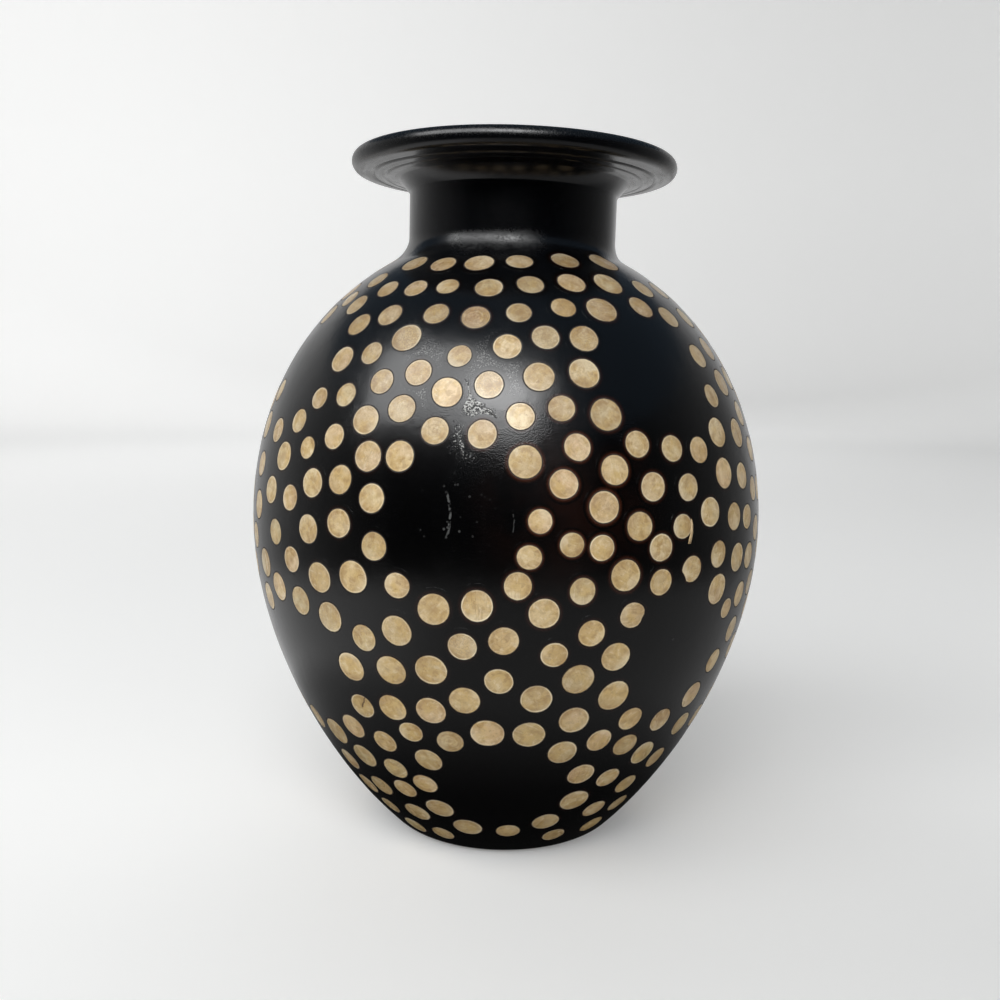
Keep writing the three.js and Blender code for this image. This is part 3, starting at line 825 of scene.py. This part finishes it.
def slice_colour(web, local, away):
    """The cut face of one slice, from its ground up to its pale edge."""
    trait = web.attribute
    chance = trait("chance")
    shift = web.times(chance, 40.0)
    cloud = web.noise(local, 0.9, w=shift)
    blotch = web.noise(local, 2.0, 3.0, 0.55, shift)
    fine = web.noise(local, 9.0, 3.0, 0.65, shift)
    shade = Shade(web, CREAM)
    for name, tint in (("warm", TAN), ("pink", PINK), ("olive", OLIVE)):
        shade.lay(tint, trait(name))
    shade.lay(TAN, web.spread(cloud, 0.42, 0.58), 0.8)
    shade.lay(DARK_GRAIN, web.spread(blotch, 0.52, 0.64), 0.46)
    shade.lay(PALE_EDGE, web.spread(blotch, 0.46, 0.35), 0.28)

    wavy = web.node("ShaderNodeTexNoise", {"Scale": 2.2, "Vector": local}).outputs["Color"]
    wavy = web.vector("ADD", local, web.scaled(wavy, 0.35))
    facet = web.red(web.cells(wavy, 1.2, shift)["Color"])
    shade.lay(DARK_GRAIN, web.spread(facet, 0.55, 0.80), 0.19)
    shade.lay(PALE_EDGE, web.spread(facet, 0.42, 0.17), 0.17)

    zone = web.spread(web.noise(local, 2.3, w=web.plus(shift, 7.0)), 0.42, 0.60)
    shade.lay(DARK_GRAIN, web.band(away, 0.45, 0.78, 0.80, 0.92), zone, 0.40)
    # Painted reflection: pale streaks across each slice, standing for the gloss on its face
    gloss_streaks = web.noise(web.stretched(local, 1.6, 5.5, 1.0), 1.0, 3.0, 0.6, web.plus(shift, 3.0))
    shade.lay(PALE_EDGE, web.spread(gloss_streaks, 0.55, 0.70), 0.34)
    shade.lay(PINK_GREY, web.spread(fine, 0.40, 0.62), trait("mottle"), 0.75)

    rings = web.times(web.times_plus(cloud, 0.5, away), web.times_plus(chance, 10.0, 18.0))
    rings = web.spread(web.math("SINE", rings), 0.0, 1.0)
    shade.lay(DARK_GRAIN, rings, trait("rings"), 0.30)
    heart = web.spread(web.times_plus(blotch, 0.6, away), 0.85, 0.35)
    shade.lay(DARK_GRAIN, heart, trait("heart"), 0.6)
    lines = web.noise(web.stretched(local, 1.0, 11.0, 1.0), 1.3, 2.0, 0.6, shift)
    shade.lay(DARK_GRAIN, web.spread(lines, 0.54, 0.68), trait("grain"), 0.7)
    sawn = web.noise(web.stretched(local, 22.0, 1.5, 1.0), 1.0, w=shift)
    shade.lay(DARK_GRAIN, web.spread(sawn, 0.48, 0.66), 0.16)
    specks = web.cells(local, 7.0)
    rare = web.math("GREATER_THAN", web.red(specks["Color"]), 0.5)
    shade.lay(DARK_GRAIN, web.spread(specks["Distance"], 0.22, 0.10), rare, 0.7)

    uneven = web.minus(cloud, 0.5)
    edge = web.spread(web.times_plus(uneven, 0.25, away), 0.875, 0.92)
    part = web.spread(web.noise(local, 1.0, 1.0, w=web.plus(shift, 13.0)), 0.34, 0.48)
    shade.lay(PALE_EDGE, edge, part, trait("rim"), 0.8)
    # Painted shade and light: each slice darker towards one side and paler towards the other
    across = web.times_plus(uneven, 1.6, web.split(local)["X"])
    lean = trait("lean")
    shade.lay(DARK_GRAIN, web.spread(across, 0.1, 1.1), lean)
    shade.lay(PALE_EDGE, web.spread(across, -0.2, -1.1), lean)
    # The overall brightness scales the whole colour and carries painted shade and painted highlight
    return web.scaled(shade.colour, web.times_plus(trait("tone_and_light"), 0.13, 0.96)), fine


def slice_material(group):
    """Wood with a thin rim of bark, and a crack in some slices."""
    material, web, shader = new_material("Wood slices", 0.3, 0.6)
    parts = gloss(web, group, 0.26, 0.8, 0.7)
    local = web.attribute("local", "Vector")
    side = web.split(local)
    away = web.vector("LENGTH", local)
    face, fine = slice_colour(web, local, away)
    shade = Shade(web, face)
    drift = web.times(web.minus(web.noise(local, 3.0), 0.5), 0.22)
    crack = web.spread(web.size_of(web.plus(side["Y"], drift)), 0.07, 0.02)
    crack = web.times(crack, web.attribute("crack"), web.spread(side["X"], -0.25, 0.0))
    shade.lay(BARK, crack, 0.85)
    bark = web.spread(away, 0.935, 0.975)
    shade.lay(BARK, bark, 0.85)
    relief = web.bump(web.minus(fine, crack), WOOD_DEPTH, parts["Normal"])
    join(web, shader, shade.colour, web.times_plus(bark, 0.4, parts["Roughness"]), relief)
    return material


def clay_material():
    material, web, shader = new_material("Fired clay", 0.85, 0.3)
    where = web.place()
    grit = web.noise(where, 900.0, 3.0, 0.6)
    shade = Shade(web, CLAY)
    shade.lay(PALE_CLAY, web.noise(where, 60.0, 4.0))
    shade.lay(GRIT, web.spread(grit, 0.60, 0.72))
    join(web, shader, shade.colour, None, web.bump(grit, GRIT_DEPTH))
    return material


# Rings of a slice and of the lacquer's edge round it, from outside in: share of the slice's
# radius, height above the coat in millimetres, and whether the shape has a crisp edge there
SLICE_RINGS = [(1.0, -0.4, False), (0.99, 0.035, True), (0.6, 0.04, False)]
SEAM_RINGS = [
    (1.42, -0.10, False), (1.38, 0.010, True), (1.10, 0.022, False), (1.0, 0.006, True),
    (0.95, -0.12, False),
]
SLICE_SIDES = 18

# What a slice measures more than its listed radius, in millimetres
SLICE_GROWTH = 0.05

# The loose sliver beside one slice: its middle line and half width, in shares of the radius, and
# the heights of its underside and its face, in millimetres
SLIVER_LINE = [
    (0.95, 0.50, 0.04), (1.03, 0.05, 0.10), (0.98, -0.60, 0.14), (0.84, -1.10, 0.18),
    (0.74, -1.48, 0.15),
]
SLIVER_LIFTS = (-0.2, 0.05)

# The slices' unevenness, as a share of the radius, and its seed
UNEVENNESS = 0.05
SEED = 4


def shape_object(name, points, faces, local, lifts, crisp=()):
    """A flat shape to lay on the coat. Local says where on a slice of radius 1 a point lies."""
    mesh = bpy.data.meshes.new(name)
    mesh.from_pydata(points, [], faces)
    flat = [v for point in local for v in point]
    mesh.attributes.new("local", "FLOAT_VECTOR", "POINT").data.foreach_set("vector", flat)
    mesh.attributes.new("lift", "FLOAT", "POINT").data.foreach_set("value", lifts)
    sharp = [tuple(sorted(edge.vertices)) in crisp for edge in mesh.edges]
    mesh.attributes.new("sharp_edge", "BOOLEAN", "EDGE").data.foreach_set("value", sharp)
    return bpy.data.objects.new(name, mesh)


def round_shape(name, rings, filled):
    """A disc, or a ring with a hollow middle, of radius 1."""
    points = []
    lifts = []
    crisp = set()
    for share, lift, edge in rings:
        first = len(points)
        for i in range(SLICE_SIDES):
            a = 2 * pi * i / SLICE_SIDES
            points.append((share * cos(a), share * sin(a), 0))
            lifts.append(lift * MM)
            if edge:
                crisp.add(tuple(sorted((first + i, first + (i + 1) % SLICE_SIDES))))
    faces = []
    bands = len(rings) - 1 if filled else len(rings)
    for k in range(bands):
        a = k * SLICE_SIDES
        b = (k + 1) % len(rings) * SLICE_SIDES
        for i in range(SLICE_SIDES):
            j = (i + 1) % SLICE_SIDES
            faces.append((a + i, a + j, b + j, b + i))
    if filled:
        last = (len(rings) - 1) * SLICE_SIDES
        points.append((0, 0, 0))
        lifts.append(rings[-1][1] * MM)
        faces += [(last + i, last + (i + 1) % SLICE_SIDES, len(points) - 1) for i in range(SLICE_SIDES)]
        faces.append(tuple(reversed(range(SLICE_SIDES))))
    return shape_object(name, points, faces, points, lifts, crisp)


def sliver_shape():
    """A thin tapered strip with a closed underside."""
    points = []
    local = []
    lifts = []
    for lift in SLIVER_LIFTS:
        for x, y, half in SLIVER_LINE:
            for side in (-1, 1):
                points.append((x + side * half, y, 0))
                local.append((side * half * 2, y * 0.5, 0))
                lifts.append(lift * MM)
    count = len(SLIVER_LINE)
    low = lambda k, side: 2 * k + side
    top = lambda k, side: 2 * count + 2 * k + side
    faces = [(low(0, 0), low(0, 1), top(0, 1), top(0, 0))[::-1],
             (low(count - 1, 0), low(count - 1, 1), top(count - 1, 1), top(count - 1, 0))]
    for k in range(count - 1):
        faces.append((top(k, 0), top(k + 1, 0), top(k + 1, 1), top(k, 1)))
        faces.append((low(k, 0), low(k, 1), low(k + 1, 1), low(k + 1, 0)))
        faces.append((low(k, 0), low(k + 1, 0), top(k + 1, 0), top(k, 0)))
        faces.append((low(k, 1), top(k, 1), top(k + 1, 1), low(k + 1, 1)))
    return shape_object("sliver_shape", points, faces, local, lifts)


UP = (0.0, 0.0, 1.0)


def inlay_tree():
    """Lays a shape on every seat, gives it an uneven outline and rests it on the coat."""
    tree = bpy.data.node_groups.new("Inlay on the coat", "GeometryNodeTree")
    face = tree.interface
    sockets = {}
    for name, kind in (
        ("Seats", "Geometry"), ("Shape", "Object"), ("Coat", "Object"), ("Finish", "Material"),
        ("Unevenness", "Float"), ("Seed", "Int"),
    ):
        sockets[name] = face.new_socket(name, in_out="INPUT", socket_type="NodeSocket" + kind)
    sockets["Unevenness"].default_value = UNEVENNESS
    sockets["Seed"].default_value = SEED
    face.new_socket("Inlay", in_out="OUTPUT", socket_type="NodeSocketGeometry")
    web = Web(tree)
    given = web.node("NodeGroupInput").outputs

    def named(name, kind="FLOAT"):
        return web.node("GeometryNodeInputNamedAttribute", {"Name": name}, data_type=kind).outputs[0]

    def made(kind, inputs=None, **settings):
        return web.node(kind, inputs, **settings).outputs[0]

    to_axis = "FunctionNodeAlignRotationToVector"
    facing = made(to_axis, {"Vector": named("facing", "FLOAT_VECTOR")}, axis="Z")
    upright = made(to_axis, {"Rotation": facing, "Vector": UP}, axis="Y", pivot_axis="Z")
    spin = made("FunctionNodeAxisAngleToRotation", {"Axis": UP, "Angle": named("turn")})
    both = {"Rotation": upright, "Rotate By": spin}
    rotation = made("FunctionNodeRotateRotation", both, rotation_space="LOCAL")
    width = named("width")
    scale = made("ShaderNodeCombineXYZ", {"X": named("length"), "Y": width, "Z": width})
    shape = web.node("GeometryNodeObjectInfo", {"Object": given["Shape"]}).outputs["Geometry"]
    laid = made("GeometryNodeInstanceOnPoints", {
        "Points": given["Seats"], "Instance": shape, "Rotation": rotation, "Scale": scale})
    real = made("GeometryNodeRealizeInstances", {"Geometry": laid})
    here = made("GeometryNodeInputPosition")
    centre = named("centre", "FLOAT_VECTOR")
    around = web.vector("NORMALIZE", named("local", "FLOAT_VECTOR"))
    shift = web.times_plus(named("chance"), 90.0, given["Seed"])
    bulge = web.minus(web.noise(around, 1.25, 2.0, 0.5, shift), 0.5)
    grow = web.times_plus(web.times(bulge, given["Unevenness"]), 2.0, 1.0)
    towards = web.vector("DOT_PRODUCT", around, named("flat_way", "FLOAT_VECTOR"))
    flattened = web.math("DIVIDE", named("flat"), web.most(towards, 0.1))
    bitten = web.times(web.spread(towards, 0.90, 0.995), named("bite"))
    kept = web.minus(web.math("MINIMUM", flattened, 1.0), bitten)
    grow = web.times(grow, kept)
    moved = web.vector("ADD", centre, web.scaled(web.vector("SUBTRACT", here, centre), grow))
    uneven = made("GeometryNodeSetPosition", {"Geometry": real, "Position": moved})
    coat = web.node("GeometryNodeObjectInfo", {"Object": given["Coat"]}).outputs["Geometry"]

    def on_coat(value):
        inputs = {"Mesh": coat, "Value": value, "Sample Position": made("GeometryNodeInputPosition")}
        return made("GeometryNodeSampleNearestSurface", inputs, data_type="FLOAT_VECTOR")

    out = web.vector("NORMALIZE", on_coat(made("GeometryNodeInputNormal")))
    lifted = web.scaled(out, named("lift"))
    resting = web.vector("ADD", on_coat(made("GeometryNodeInputPosition")), lifted)
    seated = made("GeometryNodeSetPosition", {"Geometry": uneven, "Position": resting})
    smoothed = made("GeometryNodeSetShadeSmooth", {"Geometry": seated, "Shade Smooth": True})
    finished = made("GeometryNodeSetMaterial", {"Geometry": smoothed, "Material": given["Finish"]})
    web.node("NodeGroupOutput", {"Inlay": finished})
    return tree, sockets


def share_of(value, start, end):
    return min(max((value - start) / (end - start), 0), 1)


def seat_points(seats):
    """One point for each slice, with what its cut and its wood are like."""
    draw = random.Random(23)
    glow_at = on_side(*GLOW_AT)[0]
    rows = []
    for s in seats:
        low = share_of(s["down"], 34, 70)
        high = share_of(s["down"], 38, 22)
        foot_shade = share_of(s["down"], 68, 90)
        near = max(1 - (s["centre"] - glow_at).length / GLOW_REACH, 0)
        row = {
            "oval": draw.uniform(0, 0.05),
            "turn": draw.uniform(0, 360),
            "chance": draw.random(),
            "warm": 0.05 + 0.95 * low + draw.uniform(-0.25, 0.25),
            "mottle": 0.15 + 0.5 * high + draw.uniform(-0.15, 0.2),
            # How strongly a slice is painted darker on one side and paler on the other, as shade and
            # light
            "lean": 0.5 * draw.random(),
            "pink": 0.6 * draw.random() ** 2,
            "olive": 0.5 * draw.random() ** 3,
            "rings": draw.random() ** 6,
            "grain": draw.random() ** 4,
            "crack": 0.0,
            "heart": draw.random() ** 7,
            "rim": draw.uniform(0.0, 0.9),
            # Overall brightness: at random, and darker under the neck and near the foot as painted
            # shade
            "tone_and_light": draw.uniform(-0.5, 0.5) - 1.7 * high - 0.9 * foot_shade,
            "glow": draw.uniform(0.02, 0.22) + 1.2 * near,
            "flat": 2.0,
            "flat_at": 0.0,
            "bite": 0.0,
        }
        odd = ODD_SLICES.get((s["angle"], s["down"]), {})
        row.update(odd)
        if "flat_at" in odd:
            row["turn"] = 0
        for key in ("warm", "mottle", "glow"):
            row[key] = min(max(row[key], 0), 1)
        row["turn"] = radians(row["turn"])
        size = (s["radius"] + SLICE_GROWTH) * MM
        row["width"] = size * (1 - row["oval"] / 2)
        row["length"] = size * (1 + row["oval"] / 2)
        rows.append(row)
    mesh = bpy.data.meshes.new("seats")
    mesh.from_pydata([metres(s["centre"]) for s in seats], [], [])
    for key in rows[0]:
        values = [row[key] for row in rows]
        mesh.attributes.new(key, "FLOAT", "POINT").data.foreach_set("value", values)
    ways = [radians(row["flat_at"]) for row in rows]
    vectors = {
        "facing": [tuple(s["out"]) for s in seats],
        "centre": [metres(s["centre"]) for s in seats],
        "flat_way": [(cos(way), sin(way), 0) for way in ways],
    }
    for key, values in vectors.items():
        flat = [v for value in values for v in value]
        mesh.attributes.new(key, "FLOAT_VECTOR", "POINT").data.foreach_set("vector", flat)
    return mesh


def inlay_piece(name, seats, shape, coat, finish, tree, sockets):
    start = linked(name + "_seats", seat_points(seats))
    modifier = start.modifiers.new("Inlay", "NODES")
    modifier.node_group = tree
    given = {"Shape": shape, "Coat": coat, "Finish": finish, "Unevenness": UNEVENNESS, "Seed": SEED}
    for key, value in given.items():
        modifier[sockets[key].identifier] = value
    seen = start.evaluated_get(bpy.context.evaluated_depsgraph_get())
    mesh = bpy.data.meshes.new_from_object(seen)
    mesh.name = name
    start.modifiers.remove(modifier)
    bpy.data.objects.remove(start)
    return linked(name, mesh)


# The round studio, in metres: its floor, the bend up into its wall, the wall's height, and how far
# in front of the vase the camera is
FLOOR_RADIUS = 1.9
WALL_BEND = 0.6
WALL_TOP = 1.5
CAMERA_AWAY = 0.31


def room_seen(web, where):
    """How bright the room is in a gloss: dark in front, and brighter round towards the back."""
    side = web.split(where)
    out = web.vector("LENGTH", web.stretched(where, 1.0, 1.0, 0.0))
    back = web.math("DIVIDE", side["Y"], out)
    aside = web.math("DIVIDE", side["X"], out)
    share = web.times_plus(back, 0.5, 0.5)
    share = web.times(share, share)
    far = web.times(share, web.spread(aside, 0.45, 0.95, 0.71, 0.32), web.spread(back, -0.85, -0.40))
    left = web.times(web.spread(aside, -0.2, -1.0), web.spread(out, 0.11, 0.15))
    near = web.plus(web.times_plus(left, 0.33, 0.21), web.times(share, 0.18))
    near = web.plus(near, web.spread(back, 0.3, 0.95, 0.0, 0.15))
    bright = web.mix(web.spread(out, 0.26, 0.40), near, far)
    return web.scaled(bright, web.spread(out, 0.05, 0.12, 0.06, 1.0))


def studio():
    """A pale round floor that bends up into a wall, and a dim room above it."""
    bend = arc((FLOOR_RADIUS, WALL_BEND), WALL_BEND, -90, 0, 12)
    top = [(FLOOR_RADIUS + WALL_BEND, WALL_TOP, 0, 0)]
    profile = [(0, 0, 0, 0)] + [(r, z, 0, 0) for r, z in bend] + top
    points, faces = turned(np.array(profile, float), STUDIO_COLUMNS)
    faces = [tuple(reversed(face)) for face in faces]
    material, web, shader = new_material("Pale backdrop", 0.9, 0.1)
    where = web.place()
    path = web.node("ShaderNodeLightPath").outputs
    pale = web.mix(web.noise(where, 2.0), colour(0.76, 0.765, 0.76), colour(0.79, 0.795, 0.79))
    web.feed(shader.inputs["Base Color"], web.mix(path["Is Glossy Ray"], pale, colour(0, 0, 0)))
    # Painted light: the floor's glow for the camera is brighter left than right and dimmer ahead
    axes = web.split(where)
    out = web.vector("LENGTH", where)
    away = web.plus(web.size_of(axes["Y"]), CAMERA_AWAY)
    side = web.math("DIVIDE", axes["X"], away)
    glow = web.spread(side, -0.5, 0.5, 0.885, 0.62)
    lean = web.times(web.spread(side, -0.5, 0.5, -0.10, 0.09), web.spread(out, 1.4, 0.3))
    glow = web.plus(glow, lean)
    glow = web.minus(glow, web.spread(out, 0.05, 0.9, 0.52, 0.42))
    glow = web.plus(glow, web.spread(out, 1.4, 2.4, 0.0, 0.21))
    glow = web.times_plus(web.band(out, 0.7, 1.15, 1.25, 1.7), 0.04, glow)
    ahead = web.times(web.spread(axes["Y"], 0.02, -0.09), web.spread(side, -0.5, 0.5, 0.06, 0.16))
    glow = web.minus(glow, ahead)
    glow = web.times(glow, web.spread(axes["Y"], -1.8, -0.2, 0.6, 1.0))
    glow = web.scaled((1.0, 0.995, 0.985), web.times(glow, path["Is Camera Ray"]))
    seen = web.scaled(room_seen(web, where), path["Is Glossy Ray"])
    web.feed(shader.inputs["Emission Color"], web.vector("ADD", glow, seen))
    shader.inputs["Emission Strength"].default_value = 1.0
    mesh_object("studio_floor", points / MM, faces, material)
    world = bpy.data.worlds.new("Studio")
    bpy.context.scene.world = world
    world.use_nodes = True
    web = Web(world.node_tree)
    path = web.node("ShaderNodeLightPath").outputs
    back = world.node_tree.nodes["Background"]
    room = web.mix(path["Is Glossy Ray"], colour(0.07, 0.075, 0.08), colour(0.065, 0.09, 0.12))
    web.feed(back.inputs["Color"], web.mix(path["Is Camera Ray"], room, colour(0.78, 0.78, 0.775)))
    back.inputs["Strength"].default_value = 1.0


# The place that the lamps face, at half the height of the vase, in metres
LAMP_TARGET = (0, 0, 0.1)


def lamp(name, place, width, height, brightness, shine=True):
    """A soft box that faces the vase, with its size in metres. Its power follows its area, so its
    face is equally bright at any size. Without shine it isn't seen in the gloss."""
    data = bpy.data.lights.new(name, "AREA")
    data.shape = "RECTANGLE"
    data.size, data.size_y = width, height
    data.energy = brightness * pi * width * height
    light = linked(name, data)
    light.location = place
    light.rotation_mode = "QUATERNION"
    light.rotation_quaternion = (Vector(LAMP_TARGET) - Vector(place)).to_track_quat("-Z", "Y")
    light.visible_camera = False
    light.visible_glossy = shine


def lamps():
    lamp("window", (-0.42, -0.70, 1.00), 1.74, 0.68, 3.5)
    lamp("window_pane", (-0.05, -0.82, 0.95), 0.50, 0.28, 4.4)
    lamp("fill_left", (-1.3, -1.0, 0.5), 1.2, 1.2, 0.7, shine=False)
    lamp("fill_right", (1.3, -1.0, 0.5), 1.2, 1.2, 0.8, shine=False)
    lamp("fill_back", (0.2, 1.7, 0.9), 1.5, 1.2, 1.0, shine=False)
    lamp("top", (0, 0.2, 1.7), 1.6, 1.6, 0.25, shine=False)


# Camera, in millimetres and degrees, and its focal length in widths of the picture
CAMERA_PLACE = (-1.76, -307.8, 141.3)
CAMERA_DOWN = 8.0
CAMERA_ROLL = 0.55
CAMERA_FOCAL = 1.0
SENSOR_WIDTH = 36


def camera():
    data = bpy.data.cameras.new("camera")
    data.sensor_width = SENSOR_WIDTH
    data.lens = SENSOR_WIDTH * CAMERA_FOCAL
    data.clip_start = 0.01
    down = radians(CAMERA_DOWN)
    roll = radians(CAMERA_ROLL)
    right = Vector((1, 0, 0))
    up = Vector((0, sin(down), cos(down)))
    ahead = Vector((0, cos(down), -sin(down)))
    rolled_right = right * cos(roll) + up * sin(roll)
    rolled_up = up * cos(roll) - right * sin(roll)
    turn = Matrix((rolled_right, rolled_up, -ahead)).transposed()
    made = linked("camera", data)
    made.matrix_world = Matrix.Translation(Vector(CAMERA_PLACE) * MM) @ turn.to_4x4()
    bpy.context.scene.camera = made


bpy.context.scene.view_settings.view_transform = "Standard"
camera()
studio()
lamps()

gloss_group = rubbed_gloss_group()
wood = slice_material(gloss_group)
coat = coat_piece(coat_material(gloss_group))
core = core_piece(clay_material())
seats = all_seats()
tree, sockets = inlay_tree()
disc = round_shape("slice_shape", SLICE_RINGS, True)
ring = round_shape("seam_shape", SEAM_RINGS, False)
slices = inlay_piece("wood_slices", seats, disc, coat, wood, tree, sockets)
seams = inlay_piece("lacquer_seams", seats, ring, coat, seam_material(gloss_group), tree, sockets)
sliver_seats = [s for s in seats if (s["angle"], s["down"]) == SLIVER_SEAT]
sliver = inlay_piece("loose_sliver", sliver_seats, sliver_shape(), coat, wood, tree, sockets)

disc_nodes = sorted(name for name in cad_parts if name.startswith("inlay_disc_"))
slots = {"lacquer": [coat, seams], "clay": [core], "wood": [slices, sliver]}
for slot, pieces in slots.items():
    for piece in pieces:
        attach(piece, "root")
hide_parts("lacquer_coat")
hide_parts("core_vessel")
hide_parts(*disc_nodes)
